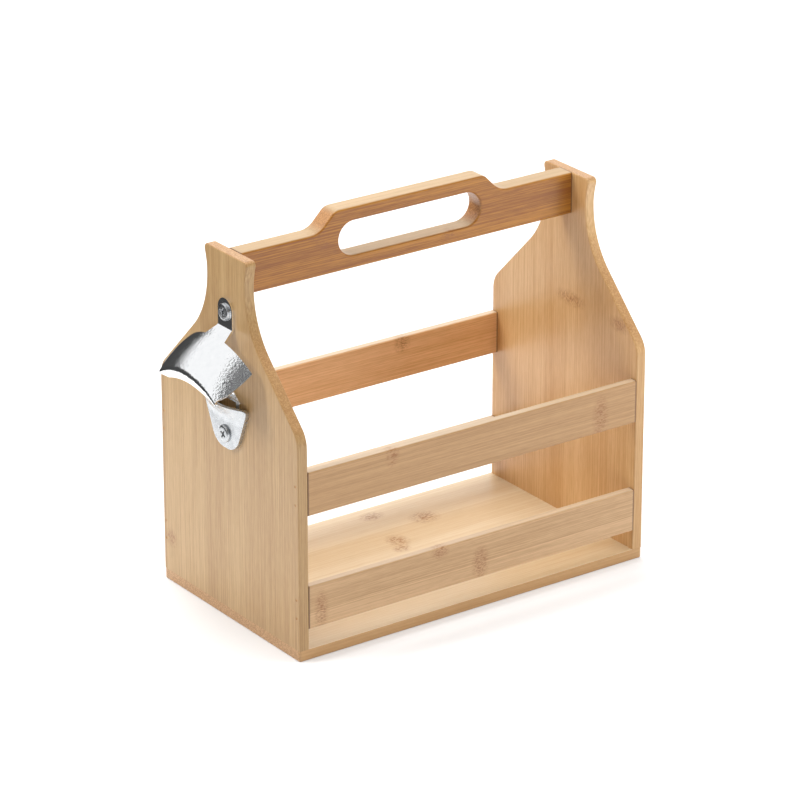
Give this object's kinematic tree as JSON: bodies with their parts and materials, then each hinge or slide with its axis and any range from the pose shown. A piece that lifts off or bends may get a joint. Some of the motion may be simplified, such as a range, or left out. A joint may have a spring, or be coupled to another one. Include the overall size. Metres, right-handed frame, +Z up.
{
  "type": "bottle caddy",
  "caption": "Open bamboo bottle carrier with shouldered end panels, side slats, a slotted handle bar and a stamped steel opener on one end.",
  "frame": {"origin": "centre of the underside of the base board", "axes": "+X along the handle, away from the end with the opener; -Y the front side; +Z up"},
  "size_m": [0.2923, 0.149, 0.2507],
  "materials": {
    "bamboo": "satin lacquered bamboo",
    "dowel_wood": "plain turned wood",
    "plated_steel": "bright plated sheet steel",
    "zinc_steel": "zinc plated steel"
  },
  "bodies": {
    "root": {"base_board": "bamboo", "handle_bar": "bamboo", "left_end_panel": "bamboo", "right_end_panel": "bamboo", "front_upper_slat": "bamboo", "front_lower_slat": "bamboo", "back_upper_slat": "bamboo", "back_lower_slat": "bamboo", "left_handle_dowels": "dowel_wood", "right_handle_dowels": "dowel_wood", "opener_hood": "plated_steel", "opener_back_plate": "plated_steel", "opener_upper_screw": "zinc_steel", "opener_lower_screw": "zinc_steel", "left_base_screws": "zinc_steel", "right_base_screws": "zinc_steel", "front_upper_slat_brads": "zinc_steel", "front_lower_slat_brads": "zinc_steel", "back_upper_slat_brads": "zinc_steel", "back_lower_slat_brads": "zinc_steel"}
  },
  "joints": []
}
